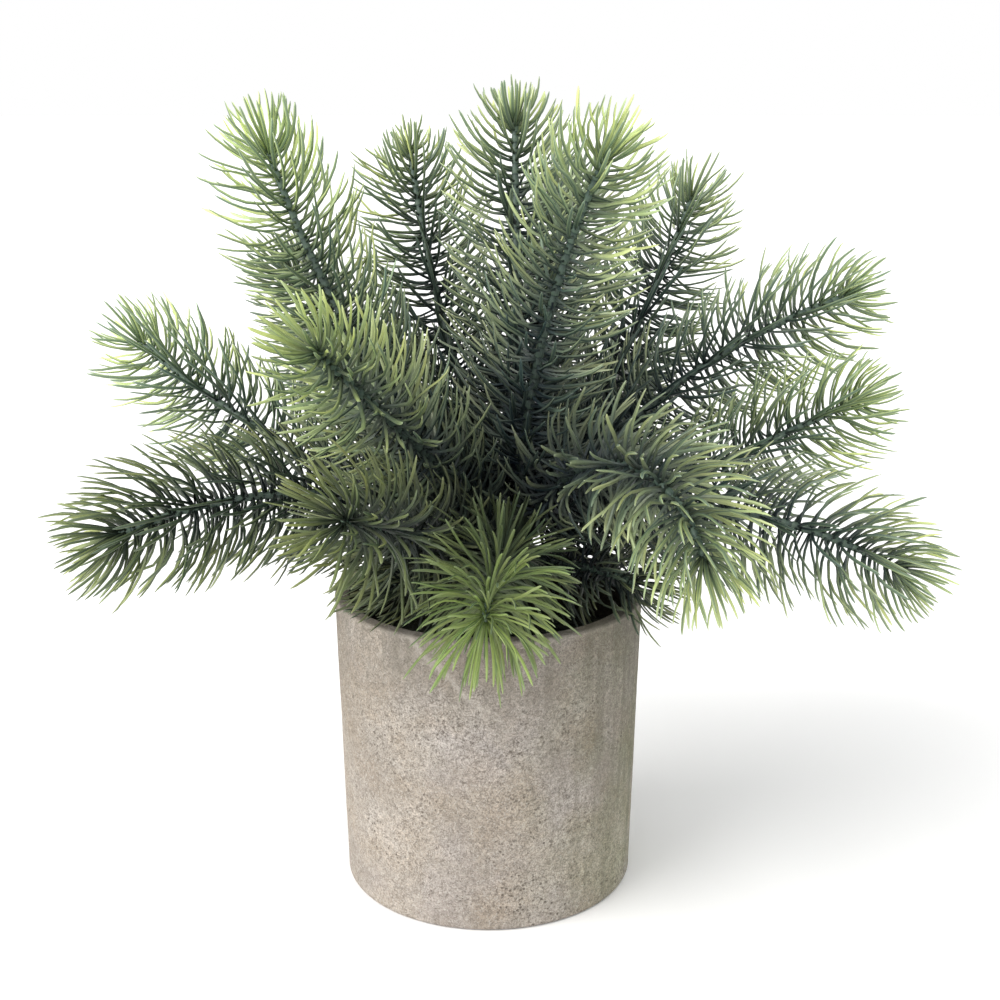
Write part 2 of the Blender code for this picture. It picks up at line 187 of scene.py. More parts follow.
# ------------------------------------------------------------------------------ materials
def needle_material(name, young, light, lift, hub):
    """Moulded needles: slate blue-green where they leave the wire, mid green along, and pale
    yellow-green at the tips.  young shifts the whole sprig towards fresh green, light makes
    it paler or darker (its lowest values paint shade on sprigs set deep in the tree), lift
    fades the dark feet, and the needles low on a sprig are darkest, as painted shade."""
    mat, nt, bsdf = node_material(name, (0.08, 0.15, 0.06), 0.40)
    along, growth, chance = attribute(nt, "needle")
    face, tint, facing_shade = attribute(nt, "needle_shade_and_tint")
    vec = coords(nt)
    drift = maths(nt, "MULTIPLY", maths(nt, "SUBTRACT", tex_noise(nt, vec, 300.0, 2.0), 0.5), 0.22)
    # the feet fade towards the tip of the sprig, where the fan starts in mid green
    fade = maths(nt, "ADD", maths(nt, "MULTIPLY", ramp(nt, [(0.72, 0.0), (1.0, 1.0)], growth),
                 hub), lift)
    rest = maths(nt, "SUBTRACT", 1.0, along)
    place = maths(nt, "ADD", maths(nt, "ADD", along, maths(nt, "MULTIPLY", rest, fade)),
                  drift, clamp=True)
    old = ramp(nt, [(0.0, (0.0170, 0.0235, 0.0270)), (0.26, (0.0500, 0.0640, 0.0640)),
                    (0.56, (0.1520, 0.1820, 0.1320)), (0.80, (0.2650, 0.3050, 0.1850)),
                    (1.0, (0.3700, 0.4120, 0.2550))], place)
    fresh = ramp(nt, [(0.0, (0.0190, 0.0290, 0.0220)), (0.26, (0.0640, 0.0920, 0.0480)),
                      (0.56, (0.1850, 0.2400, 0.0840)), (0.80, (0.2900, 0.3600, 0.1250)),
                      (1.0, (0.3500, 0.4250, 0.1980))], place)
    age = maths(nt, "ADD", maths(nt, "MULTIPLY", growth, 0.70), young - 0.38, clamp=True)
    col = mix(nt, old, fresh, age)
    # painted shade: low on the sprig, deep in the tree, everything is darkened to slate
    low_shade = ramp(nt, [(0.0, 0.22), (0.30, 0.48), (0.62, 0.86), (0.85, 1.0)], growth)
    if young > 0.7:
        low_shade = ramp(nt, [(0.0, 0.30), (0.45, 0.52), (0.88, 1.0)], growth)
    shade = mix(nt, (0.0, 0.0, 0.0), col, low_shade)
    slate = mix(nt, (0.0105, 0.0160, 0.0225), (0.0, 0.0, 0.0), low_shade)
    col = mix(nt, shade, slate, 1.0, "ADD")
    # some needles are bluer and some yellower than their neighbours
    cool = mix(nt, col, mix(nt, col, (0.68, 0.82, 1.00), 1.0, "MULTIPLY"),
               maths(nt, "MULTIPLY", chance, ramp(nt, [(0.35, 1.0), (1.0, 0.60)], growth)))
    warm = mix(nt, cool, mix(nt, cool, (1.40, 1.30, 1.00) if young < 0.7
                             else (1.14, 1.26, 0.94), 1.0, "MULTIPLY"),
               maths(nt, "MULTIPLY", tint, ramp(nt, [(0.25, 0.35), (0.95, 1.0)], growth)))
    # painted shade and painted highlight: the face turned back to the wire is painted darker and bluer as if in
    # shade, the outer ridge painted paler as if lit
    out = mix(nt, mix(nt, warm, (0.36, 0.43, 0.54), 1.0, "MULTIPLY"),
              mix(nt, warm, (1.34, 1.31, 1.24), 1.0, "MULTIPLY"),
              ramp(nt, [(0.16, 0.0), (0.62, 1.0)], face))
    # the sprig's paleness; its lowest values are painted shade on sprigs set deep in the tree
    out = mix(nt, out, (light, light, light), 1.0, "MULTIPLY")
    # painted shade: needles pointing to the front or the back are darkened and made bluer, so that each sprig's
    # outline stays paler as if lit from behind
    out = mix(nt, out, mix(nt, out, (0.44, 0.50, 0.56), 1.0, "MULTIPLY"),
              ramp(nt, [(0.35, 0.0), (0.85, 1.0)], facing_shade))
    nt.links.new(out, bsdf.inputs["Base Color"])
    nt.links.new(ramp(nt, [(0.3, 0.32), (0.75, 0.48)], tex_noise(nt, vec, 260.0, 2.0, 0.5)),
                 bsdf.inputs["Roughness"])
    bsdf.inputs["Specular IOR Level"].default_value = 0.45
    bump(nt, bsdf, tex_noise(nt, vec, 700.0, 2.0, 0.5), 0.25, 0.0002)
    return mat


def stem_material():
    mat, nt, bsdf = node_material("stem_green", (0.05, 0.085, 0.065), 0.5)
    vec = coords(nt)
    ring, growth, _ = attribute(nt, "stem")
    # painted shade: darker low on the sprig, towards the trunk, and in the grooves between the moulded collars
    # (ring low), with the collar ridges painted paler as if lit (ring high)
    low = ramp(nt, [(0.0, (0.0040, 0.0070, 0.0070)), (0.55, (0.0140, 0.0240, 0.0210)),
                    (1.0, (0.0340, 0.0520, 0.0430))], ring)
    high = ramp(nt, [(0.0, (0.0260, 0.0500, 0.0420)), (0.55, (0.0720, 0.1200, 0.0920)),
                     (1.0, (0.1450, 0.2080, 0.1500))], ring)
    col = mix(nt, low, high, ramp(nt, [(0.12, 0.0), (0.85, 1.0)], growth))
    col = mix(nt, col, (0.010, 0.016, 0.014), maths(nt, "MULTIPLY",
              tex_noise(nt, vec, 420.0, 3.0), 0.40))
    nt.links.new(col, bsdf.inputs["Base Color"])
    nt.links.new(ramp(nt, [(0.3, 0.38), (0.7, 0.60)], tex_noise(nt, vec, 500.0, 2.0)),
                 bsdf.inputs["Roughness"])
    bump(nt, bsdf, tex_noise(nt, vec, 900.0, 3.0, 0.6), 0.35, 0.0002)
    return mat


def warped(nt, vec, scale, amount):
    """Coordinates pushed about by noise, so that what is drawn on them wanders."""
    n = nt.nodes.new("ShaderNodeTexNoise")
    n.inputs["Scale"].default_value = scale
    n.inputs["Detail"].default_value = 2.0
    nt.links.new(vec, n.inputs["Vector"])
    sub = nt.nodes.new("ShaderNodeVectorMath")
    sub.operation = "SUBTRACT"
    nt.links.new(n.outputs["Color"], sub.inputs[0])
    sub.inputs[1].default_value = (0.5, 0.5, 0.5)
    sc = nt.nodes.new("ShaderNodeVectorMath")
    sc.operation = "SCALE"
    nt.links.new(sub.outputs[0], sc.inputs[0])
    sc.inputs["Scale"].default_value = amount
    ad = nt.nodes.new("ShaderNodeVectorMath")
    ad.operation = "ADD"
    nt.links.new(vec, ad.inputs[0])
    nt.links.new(sc.outputs[0], ad.inputs[1])
    return ad.outputs[0]


def hairs(nt, vec, scale, warp_scale, warp_amount, width):
    """Fine curling lines, as matted fibres leave in a pulp surface."""
    n = tex_noise(nt, warped(nt, vec, warp_scale, warp_amount), scale, 1.5, 0.5)
    return ramp(nt, [(0.5 - width, 0.0), (0.5, 1.0), (0.5 + width, 0.0)], n)


def pot_material():
    """Grey-beige pressed pulp: cloudy mottling, matted fibres, small dark pits, pale laps,
    and the streaks and grey-green stain of one side; painted light and shade make it paler
    low down and darker at the top, across the middle, on the upper right and in the bore."""
    mat, nt, bsdf = node_material("pulp_grey", (0.42, 0.37, 0.31), 0.9)
    vec = coords(nt)
    lap, edge, bore_shade = attribute(nt, "pulp")
    sep = nt.nodes.new("ShaderNodeSeparateXYZ")
    nt.links.new(vec, sep.inputs[0])
    X, Z = sep.outputs["X"], sep.outputs["Z"]
    cloud = tex_noise(nt, warped(nt, vec, 30.0, 0.02), 24.0, 4.0, 0.55)
    col = ramp(nt, [(0.28, (0.274, 0.240, 0.206)), (0.45, (0.344, 0.308, 0.269)),
                    (0.58, (0.397, 0.360, 0.321)), (0.74, (0.455, 0.421, 0.384))], cloud)
    # patches the size of a fingertip, browner and darker
    patch = ramp(nt, [(0.50, 0.0), (0.66, 1.0)], tex_noise(nt, warped(nt, vec, 60.0, 0.012), 60.0, 3.0, 0.6))
    col = mix(nt, col, (0.250, 0.200, 0.150), maths(nt, "MULTIPLY", patch, 0.26))
    # warm brown where the pulp is coarse, and smoother mauve-grey skin between
    warm = ramp(nt, [(0.42, 0.0), (0.62, 1.0)], tex_noise(nt, warped(nt, vec, 40.0, 0.02), 30.0, 3.0, 0.55))
    col = mix(nt, col, mix(nt, col, (1.0, 0.962, 0.908), 1.0, "MULTIPLY"), warm)
    cool = ramp(nt, [(0.38, 1.0), (0.50, 0.0)], tex_noise(nt, warped(nt, vec, 50.0, 0.02), 34.0, 2.0, 0.5))
    col = mix(nt, col, mix(nt, col, (1.01, 1.01, 1.045), 1.0, "MULTIPLY"), cool)
    grain = maths(nt, "ADD", maths(nt, "MULTIPLY", tex_noise(nt, vec, 1500.0, 3.0, 0.75), 0.66),
                  maths(nt, "MULTIPLY", tex_noise(nt, vec, 420.0, 4.0, 0.65), 0.34))
    col = mix(nt, col, mix(nt, col, ramp(nt, [(0.35, (0.34, 0.32, 0.30)), (0.50, (0.96, 0.96, 0.96)),
                                              (0.65, (1.60, 1.58, 1.56))], grain), 1.0, "MULTIPLY"),
              ramp(nt, [(0.36, 0.62), (0.56, 1.0)], cloud))
    # matted fibres, pale ones over dark ones
    dark_hair = hairs(nt, vec, 430.0, 260.0, 0.0034, 0.030)
    pale_hair = hairs(nt, vec, 500.0, 300.0, 0.0030, 0.030)
    thin_hair = hairs(nt, vec, 980.0, 480.0, 0.0018, 0.045)
    col = mix(nt, col, (0.185, 0.156, 0.124), maths(nt, "MULTIPLY", dark_hair, 0.72))
    col = mix(nt, col, (0.560, 0.522, 0.470), maths(nt, "MULTIPLY", pale_hair, 0.66))
    col = mix(nt, col, (0.240, 0.208, 0.172), maths(nt, "MULTIPLY", thin_hair, 0.36))
    # dark pits, gathered in patches and mostly on the lower half
    many = ramp(nt, [(0.44, 0.0), (0.62, 1.0)], tex_noise(nt, vec, 48.0, 3.0, 0.6))
    low = ramp(nt, [(0.0, 1.0), (0.62, 0.85), (1.0, 0.25)], maths(nt, "MULTIPLY", Z, 8.6))
    pits = ramp(nt, [(0.22, 1.0), (0.40, 0.0)], tex_voronoi(nt, warped(nt, vec, 500.0, 0.0008), 640.0))
    some = ramp(nt, [(0.47, 0.0), (0.53, 1.0)], tex_noise(nt, vec, 380.0, 1.0))
    pit = maths(nt, "MULTIPLY", maths(nt, "MULTIPLY", pits, some), maths(nt, "MULTIPLY", many, low))
    col = mix(nt, col, (0.095, 0.078, 0.060), maths(nt, "MULTIPLY", pit, 0.80))
    # upright streaks under the rim and on the right
    up = coords(nt, (1.0, 1.0, 0.07))
    streak = ramp(nt, [(0.44, 0.0), (0.62, 1.0)], tex_noise(nt, up, 230.0, 4.0, 0.6))
    where = maths(nt, "MAXIMUM", ramp(nt, [(0.70, 0.0), (1.0, 0.85)], maths(nt, "MULTIPLY", Z, 8.6)),
                  ramp(nt, [(0.52, 0.0), (0.95, 0.75)], maths(nt, "ADD", maths(nt, "MULTIPLY", X, 8.0), 0.5)))
    col = mix(nt, col, (0.180, 0.162, 0.126), maths(nt, "MULTIPLY", maths(nt, "MULTIPLY", streak, where), 0.66))
    stain = ramp(nt, [(0.55, 0.0), (0.98, 1.0)], maths(nt, "ADD", maths(nt, "MULTIPLY", X, 8.0), 0.5))
    wet = ramp(nt, [(0.38, 0.25), (0.64, 1.0)], tex_noise(nt, vec, 32.0, 3.0, 0.6))
    col = mix(nt, col, mix(nt, col, (0.76, 0.85, 0.71), 1.0, "MULTIPLY"), maths(nt, "MULTIPLY", stain, wet))
    # painted light and shade: paler low down and darker towards the top, where the needles shade the pot
    top = ramp(nt, [(0.10, (1.10, 1.10, 1.11)), (0.50, (1.02, 1.02, 1.02)), (0.95, (0.85, 0.85, 0.84))],
               maths(nt, "MULTIPLY", Z, 8.6))
    col = mix(nt, col, top, 1.0, "MULTIPLY")
    # painted shade: darker across the middle, a little less on the right, palest at the left where the key
    # light falls
    mid = ramp(nt, [(0.10, (1.03, 1.03, 1.03)), (0.50, (0.91, 0.905, 0.905)), (1.0, (0.95, 0.95, 0.95))],
               maths(nt, "ADD", maths(nt, "MULTIPLY", X, 8.0), 0.5))
    col = mix(nt, col, mid, 1.0, "MULTIPLY")
    # painted shade: the upper right, away from the key light, darker still
    side = maths(nt, "MULTIPLY", ramp(nt, [(0.60, 0.0), (0.95, 1.0)], maths(nt, "ADD",
                 maths(nt, "MULTIPLY", X, 8.0), 0.5)), ramp(nt, [(0.50, 0.0), (0.90, 1.0)],
                 maths(nt, "MULTIPLY", Z, 8.6)))
    col = mix(nt, col, mix(nt, col, (0.80, 0.80, 0.77), 1.0, "MULTIPLY"), side)
    # pale laps of pulp, rubbed edges, and painted shade: the bore is painted dark as if shaded by the needles
    # and the rim
    col = mix(nt, col, (0.540, 0.500, 0.446), maths(nt, "MULTIPLY", lap, 0.36))
    col = mix(nt, col, (0.500, 0.462, 0.410), maths(nt, "MULTIPLY", edge, 0.30))
    col = mix(nt, col, mix(nt, col, (0.16, 0.15, 0.13), 1.0, "MULTIPLY"), bore_shade)
    nt.links.new(col, bsdf.inputs["Base Color"])
    nt.links.new(ramp(nt, [(0.3, 0.82), (0.7, 0.95)], grain), bsdf.inputs["Roughness"])
    bsdf.inputs["Specular IOR Level"].default_value = 0.25
    height = maths(nt, "ADD", maths(nt, "MULTIPLY", pale_hair, 0.5), maths(nt, "MULTIPLY", grain, 1.0))
    height = maths(nt, "SUBTRACT", height, maths(nt, "MULTIPLY", dark_hair, 0.45))
    n1 = bump(nt, bsdf, height, 0.55, 0.0007)
    bump(nt, bsdf, maths(nt, "SUBTRACT", 1.0, pit), 0.60, 0.0006, n1)
    return mat


def fibre_material():
    mat, nt, bsdf = node_material("dark_fibre", (0.03, 0.035, 0.022), 0.95)
    vec = coords(nt)
    clump = tex_noise(nt, vec, 160.0, 5.0, 0.7)
    col = ramp(nt, [(0.3, (0.010, 0.012, 0.008)), (0.55, (0.035, 0.040, 0.022)),
                    (0.75, (0.085, 0.080, 0.045))], clump)
    nt.links.new(col, bsdf.inputs["Base Color"])
    bump(nt, bsdf, tex_noise(nt, vec, 620.0, 5.0, 0.75), 0.9, 0.0012)
    return mat


def tape_material():
    mat, nt, bsdf = node_material("floral_tape", (0.045, 0.065, 0.035), 0.72)
    vec = coords(nt, (1.0, 1.0, 3.0))
    crepe = tex_noise(nt, vec, 420.0, 4.0, 0.65, 0.3)
    lap, _, _ = attribute(nt, "tape")
    col = ramp(nt, [(0.0, (0.016, 0.024, 0.014)), (0.35, (0.048, 0.070, 0.038)),
                    (1.0, (0.085, 0.115, 0.062))], lap)
    col = mix(nt, col, (0.020, 0.028, 0.018), maths(nt, "MULTIPLY", crepe, 0.5))
    nt.links.new(col, bsdf.inputs["Base Color"])
    bump(nt, bsdf, crepe, 0.6, 0.0004)
    return mat


def cement_material():
    mat, nt, bsdf = node_material("cast_cement", (0.34, 0.33, 0.31), 0.9)
    vec = coords(nt)
    g = tex_noise(nt, vec, 120.0, 5.0, 0.65)
    nt.links.new(ramp(nt, [(0.3, (0.24, 0.235, 0.22)), (0.7, (0.44, 0.43, 0.41))], g),
                 bsdf.inputs["Base Color"])
    bump(nt, bsdf, g, 0.5, 0.0008)
    return mat


def steel_material():
    mat, nt, bsdf = node_material("wire_steel", (0.45, 0.45, 0.46), 0.4, 1.0)
    vec = coords(nt, (1.0, 1.0, 0.05))
    g = tex_noise(nt, vec, 900.0, 3.0, 0.6)
    nt.links.new(ramp(nt, [(0.3, (0.36, 0.36, 0.37)), (0.7, (0.52, 0.52, 0.53))], g),
                 bsdf.inputs["Base Color"])
    nt.links.new(ramp(nt, [(0.3, 0.32), (0.7, 0.5)], g), bsdf.inputs["Roughness"])
    return mat


MAT_STEM = stem_material()
MAT_POT = pot_material()
MAT_FIBRE = fibre_material()
MAT_TAPE = tape_material()


def reface(node, mat):
    ob = frame["nodes"][node]
    if not ob.material_slots:
        ob.data.materials.append(mat)
    for slot in ob.material_slots:
        slot.material = mat


reface("ballast", cement_material())
reface("trunk_rod", steel_material())

# ------------------------------------------------------------------------------ pot
lo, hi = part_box("pot")
POT_H = hi.z
POT_R = 0.5 * (hi.x - lo.x)               # at the rim
POT_R0 = POT_R - 0.0028                   # at the foot
WALL = 0.006


def pot_radius(z):
    return POT_R0 + (POT_R - POT_R0) * z / POT_H


def build_pot():
    """A turned shell, with the wandering thickness, dents and creases of pressed pulp."""
    prof = []                             # (radius, z, how much the surface may wander)
    h = POT_H
    fibre_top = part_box("fibre_plug")[1].z
    prof += [(0.0, 0.0062, 0.0), (0.030, 0.0062, 0.0), (pot_radius(0.006) - WALL, 0.0062, 0.0)]
    for z in np.linspace(0.03, fibre_top - 0.004, 4):
        prof.append((pot_radius(z) - WALL, z, 0.0))
    for z in np.linspace(fibre_top, h - 0.0022, 10):
        prof.append((pot_radius(z) - WALL, z, 0.5))
    for a in np.linspace(0.0, 0.5 * math.pi, 7)[1:]:
        prof.append((POT_R - WALL + 0.0012 - 0.0012 * math.cos(a), h - 0.0012 + 0.0012 * math.sin(a), 0.6))
    for r in np.linspace(POT_R - WALL + 0.0020, POT_R - 0.0020, 5):
        prof.append((r, h, 0.6))
    for a in np.linspace(0.5 * math.pi, 0.0, 7)[:-1]:
        prof.append((POT_R - 0.0013 + 0.0013 * math.cos(a), h - 0.0013 + 0.0013 * math.sin(a), 0.6))
    for z in np.linspace(h - 0.0016, 0.0020, 128):
        prof.append((pot_radius(z), z, 1.0))
    rf = 0.0014
    for a in np.linspace(0.0, 0.5 * math.pi, 8)[1:]:
        prof.append((POT_R0 - rf + rf * math.cos(a), rf - rf * math.sin(a), 0.5 * math.cos(a)))
    for r in (0.050, 0.030, 0.0):
        prof.append((r, 0.0, 0.0))
    seg = 320
    verts, faces, rows, paint = [], [], [], []
    for r, z, w in prof:
        if r == 0.0:
            rows.append([len(verts)])
            verts.append((0.0, 0.0, z))
            paint.append((0.0, 0.0, 1.0 if z > 0.001 else 0.0))
            continue
        row = []
        # the bore, the inner wall, which the material paints dark as painted shade
        bore = 1.0 if r < pot_radius(z) - WALL + 0.0006 and z > 0.001 else 0.0
        rub = 0.0
        if w == 0.6:
            rub = 0.35 + 0.65 * max(0.0, 1.0 - abs(r - (POT_R - 0.0008)) / 0.0018)
        elif w == 1.0:
            rub = math.exp(-(h - z) / 0.0015) + 0.6 * math.exp(-z / 0.002)
        for i in range(seg):
            a = 2.0 * math.pi * i / seg
            lap = 0.0
            d = Vector((math.cos(a), math.sin(a), 0.0))
            p = Vector((r * d.x, r * d.y, z))
            off = 0.0
            if w > 0.0:
                off -= 0.00020 * (0.5 + 0.5 * noise.noise(p * 38.0))
                off -= 0.00012 * (0.5 + 0.5 * noise.noise(p * 140.0 + Vector((3.1, 0.0, 7.7))))
                off -= 0.00007 * (0.5 + 0.5 * noise.noise(p * 420.0 + Vector((9.1, 4.0, 1.7))))
                # creases where one layer of pulp ends over another
                for slope, start, turn in ((0.9, 0.106, -1.95), (0.55, 0.060, 0.4), (-0.7, 0.085, 2.2)):
                    da = (a - turn + math.pi) % (2.0 * math.pi) - math.pi
                    line = start - slope * da * POT_R + 0.004 * noise.noise(Vector((da * 5.0, slope, 0.3)))
                    if abs(da) < 0.55 and abs(z - line) < 0.0045:
                        fade = 1.0 - (abs(da) / 0.55) ** 2
                        off -= 0.00022 * fade * math.exp(-((z - line) / 0.0011) ** 2)
                        lap = max(lap, fade * math.exp(-((z - line - 0.0017) / 0.0019) ** 2))
                off *= w
            paint.append((lap, rub * (0.75 + 0.5 * noise.noise(p * 300.0)), bore))
            if z > h - 0.002 and w == 0.6:
                row.append(len(verts))
                verts.append((p.x, p.y, p.z + off))
            else:
                q = p + d * off
                row.append(len(verts))
                verts.append(tuple(q))
        rows.append(row)
    for a, b in zip(rows, rows[1:]):
        for i in range(seg):
            j = (i + 1) % seg
            if len(a) == 1:
                faces.append((a[0], b[j], b[i]))
            elif len(b) == 1:
                faces.append((a[i], a[j], b[0]))
            else:
                faces.append((a[i], a[j], b[j], b[i]))
    ob = mesh_object("pulp_pot", verts, faces, MAT_POT)
    at = ob.data.color_attributes.new("pulp", "FLOAT_COLOR", "POINT")
    flat = np.ones((len(paint), 4), np.float32)
    flat[:, :3] = np.clip(np.array(paint), 0.0, 1.0)
    at.data.foreach_set("color", flat.ravel())
    return ob


pot = build_pot()
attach(pot, "planter")
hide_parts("pot")

# ------------------------------------------------------------------------------ filling
fl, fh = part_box("fibre_plug")


def build_filling():
    """Packed dyed fibre: a closed plug whose top is uneven, with stray strands on it."""
    rng = random.Random(11)
    top, bottom = fh.z, fl.z
    seg, rings = 96, 34
    verts, faces = [], []
    ids = []
    for k in range(rings + 1):
        f = k / rings
        r = (pot_radius(top) - WALL - 0.0005) * f
        row = []
        for i in range(seg if k else 1):
            a = 2.0 * math.pi * i / seg
            x, y = r * math.cos(a), r * math.sin(a)
            v = Vector((x, y, 0.0))
            z = top - 0.0022 + 0.0022 * noise.noise(v * 90.0) + 0.0010 * noise.noise(v * 260.0)
            z -= 0.0015 * f ** 6
            row.append(len(verts))
            verts.append((x, y, min(z, top)))
        ids.append(row)
    for r, z in ((pot_radius(top - 0.006) - WALL - 0.0005, top - 0.006),
                 (pot_radius(bottom) - WALL - 0.0005, bottom)):
        row = []
        for i in range(seg):
            a = 2.0 * math.pi * i / seg
            row.append(len(verts))
            verts.append((r * math.cos(a), r * math.sin(a), z))
        ids.append(row)
    ids.append([len(verts)])
    verts.append((0.0, 0.0, bottom))
    for a, b in zip(ids, ids[1:]):
        for i in range(seg):
            j = (i + 1) % seg
            if len(a) == 1:
                faces.append((a[0], b[i], b[j]))
            elif len(b) == 1:
                faces.append((a[i], b[0], a[j]))
            else:
                faces.append((a[i], b[i], b[j], a[j]))
    # strands
    for _ in range(420):
        r = (POT_R - WALL - 0.004) * math.sqrt(rng.random())
        a = rng.uniform(0, 2 * math.pi)
        c = Vector((r * math.cos(a), r * math.sin(a), top - 0.0016))
        h = rng.uniform(0, 2 * math.pi)
        ln = rng.uniform(0.004, 0.011)
        turn = rng.uniform(-1.6, 1.6)
        rad = rng.uniform(0.00012, 0.00026)
        pts = []
        p = c.copy()
        for s in range(6):
            pts.append(p.copy())
            hh = h + turn * s / 5
            p = p + Vector((math.cos(hh), math.sin(hh), 0.0)) * ln / 5
            p.z = top - 0.0016 + 0.0013 * math.sin(math.pi * s / 5) * rng.uniform(0.6, 1.2)
        if max(math.hypot(q.x, q.y) for q in pts) > POT_R - WALL - 0.0012:
            continue
        strand(verts, faces, pts, rad)
    return mesh_object("packed_fibre", verts, faces, MAT_FIBRE)


def strand(verts, faces, pts, rad, sides=4):
    rows = []
    for k, p in enumerate(pts):
        t = (pts[min(k + 1, len(pts) - 1)] - pts[max(k - 1, 0)]).normalized()
        u = t.cross(Vector((0.13, 0.2, 1.0))).normalized()
        v = t.cross(u)
        rr = rad * (0.4 if k in (0, len(pts) - 1) else 1.0)
        row = []
        for i in range(sides):
            a = 2 * math.pi * i / sides
            row.append(len(verts))
            verts.append(tuple(p + (u * math.cos(a) + v * math.sin(a)) * rr))
        rows.append(row)
    for a, b in zip(rows, rows[1:]):
        for i in range(sides):
            j = (i + 1) % sides
            faces.append((a[i], a[j], b[j], b[i]))
    faces.append(tuple(reversed(rows[0])))
    faces.append(tuple(rows[-1]))


filling = build_filling()
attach(filling, "planter")
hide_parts("fibre_plug")

# ------------------------------------------------------------------------------ trunk
tl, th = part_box("trunk_tape")
TRUNK_X = 0.5 * (tl.x + th.x)
TRUNK_R = 0.5 * (th.x - tl.x)


def build_trunk():
    """Floral tape wound up the trunk: each turn laps the one below."""
    seg = 48
    rows_n = 150
    z0, z1 = tl.z, th.z
    pitch = 0.0085
    verts, faces, lap = [], [], []
    rows = []
    for k in range(rows_n + 1):
        z = z0 + (z1 - z0 - 0.0004) * k / rows_n
        row = []
        for i in range(seg):
            a = 2 * math.pi * i / seg
            ph = ((z - z0) / pitch - a / (2 * math.pi)) % 1.0
            r = TRUNK_R - 0.00055 + 0.00050 * (1.0 - ph) - 0.00022 * math.sin(5 * a) ** 2
            r -= 0.00012 * (0.5 + 0.5 * noise.noise(Vector((6 * math.cos(a), 6 * math.sin(a), z * 900))))
            if k > rows_n - 4:
                r -= 0.0005 * ((k - rows_n + 4) / 4.0) ** 2
            row.append(len(verts))
            verts.append((TRUNK_X + r * math.cos(a), r * math.sin(a), z))
            lap.append(ph)
        rows.append(row)
    for a, b in zip(rows, rows[1:]):
        for i in range(seg):
            j = (i + 1) % seg
            faces.append((a[i], a[j], b[j], b[i]))
    # folded end: rings closing in to the middle
    last = rows[-1]
    for f, dz in ((0.8, 0.0003), (0.5, 0.0002), (0.25, 0.0004)):
        row = []
        for i in range(seg):
            a = 2 * math.pi * i / seg
            w = 0.00025 * math.sin(3 * a + 9 * f)
            row.append(len(verts))
            verts.append((TRUNK_X + (TRUNK_R - 0.0012) * f * math.cos(a),
                          (TRUNK_R - 0.0012) * f * math.sin(a), z1 - 0.0004 + dz * 0.9 + w * 0.3))
            lap.append(0.4 + 0.4 * math.sin(3 * a) ** 2)
        for i in range(seg):
            j = (i + 1) % seg
            faces.append((last[i], last[j], row[j], row[i]))
        last = row
    faces.append(tuple(last))
    faces.append(tuple(reversed(rows[0])))
    ob = mesh_object("trunk_wrap", verts, faces, MAT_TAPE)
    at = ob.data.color_attributes.new("tape", "FLOAT_COLOR", "POINT")
    for i, v in enumerate(lap):
        at.data[i].color = (v, 0.0, 0.0, 1.0)
    return ob


trunk = build_trunk()
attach(trunk, "planter")
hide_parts("trunk_tape")

# ------------------------------------------------------------------------------ sprigs
# heading's turn, rise at the root and at the tip, wire length, how fresh the green is, the
# way its needles lean (bearing in the XZ plane, degrees), and the length of its tip needles
SPRIGS = {
    "sprig_01": (-16, 48, 70, 0.168, 0.42, (math.radians(190), 9.0), 0.72),
    "sprig_02": (-14, 46, 64, 0.158, 0.30, (math.radians(180), 4.0), 0.42),
    "sprig_03": (-6, 89, 68, 0.144, 0.20, (math.radians(180), 3.0), 0.56),
    "sprig_04": (4, 85, 61, 0.136, 0.26, (math.radians(0), 6.0), 0.74),
    "sprig_05": (3, 33, 51, 0.174, 0.20, (math.radians(0), 6.0), 0.66),
    "sprig_06": (-29, 42, 17, 0.175, 0.22, (math.radians(270), 6.0), 0.66),
    "sprig_07": (1, 23, 20, 0.146, 0.42, (math.radians(270), 7.0), 0.66),
    "sprig_08": (-30, 63, -50, 0.120, 0.26, (math.radians(250), 9.0), 0.80),
    "sprig_09": (-8, 16, -25, 0.140, 0.20, (math.radians(270), 9.0), 0.70),
    "sprig_10": (-8, 17, 31, 0.179, 0.32, (math.radians(200), 6.0), 0.70),
    "sprig_11": (3, 33, -23, 0.148, 0.46, (math.radians(270), 3.0), 0.78),
    "sprig_12": (37, 49, 34, 0.119, 0.46, (math.radians(225), 5.0), 0.80),
    "sprig_13": (19, 22, 19, 0.109, 0.44, (math.radians(270), 10.0), 0.84),
    "sprig_14": (4, 9, -6, 0.095, 0.80, (math.radians(270), 6.0), 0.84),
    "sprig_15": (0, 36, 8, 0.150, 0.30, (math.radians(270), 6.0), 0.72),
    "sprig_16": (4, 26, -12, 0.140, 0.38, (math.radians(270), 8.0), 0.76),
    "sprig_17": (0, 30, 4, 0.150, 0.24, (math.radians(270), 6.0), 0.72),
    "sprig_18": (-8, 56, 46, 0.150, 0.22, (math.radians(0), 4.0), 0.70),
    "sprig_19": (0, 44, 34, 0.135, 0.30, (math.radians(180), 5.0), 0.72),
    "sprig_20": (0, 8, -10, 0.047, 0.05, (math.radians(270), 4.0), 0.80),
    "sprig_21": (6, 10, -8, 0.047, 0.05, (math.radians(270), 4.0), 0.80),
}
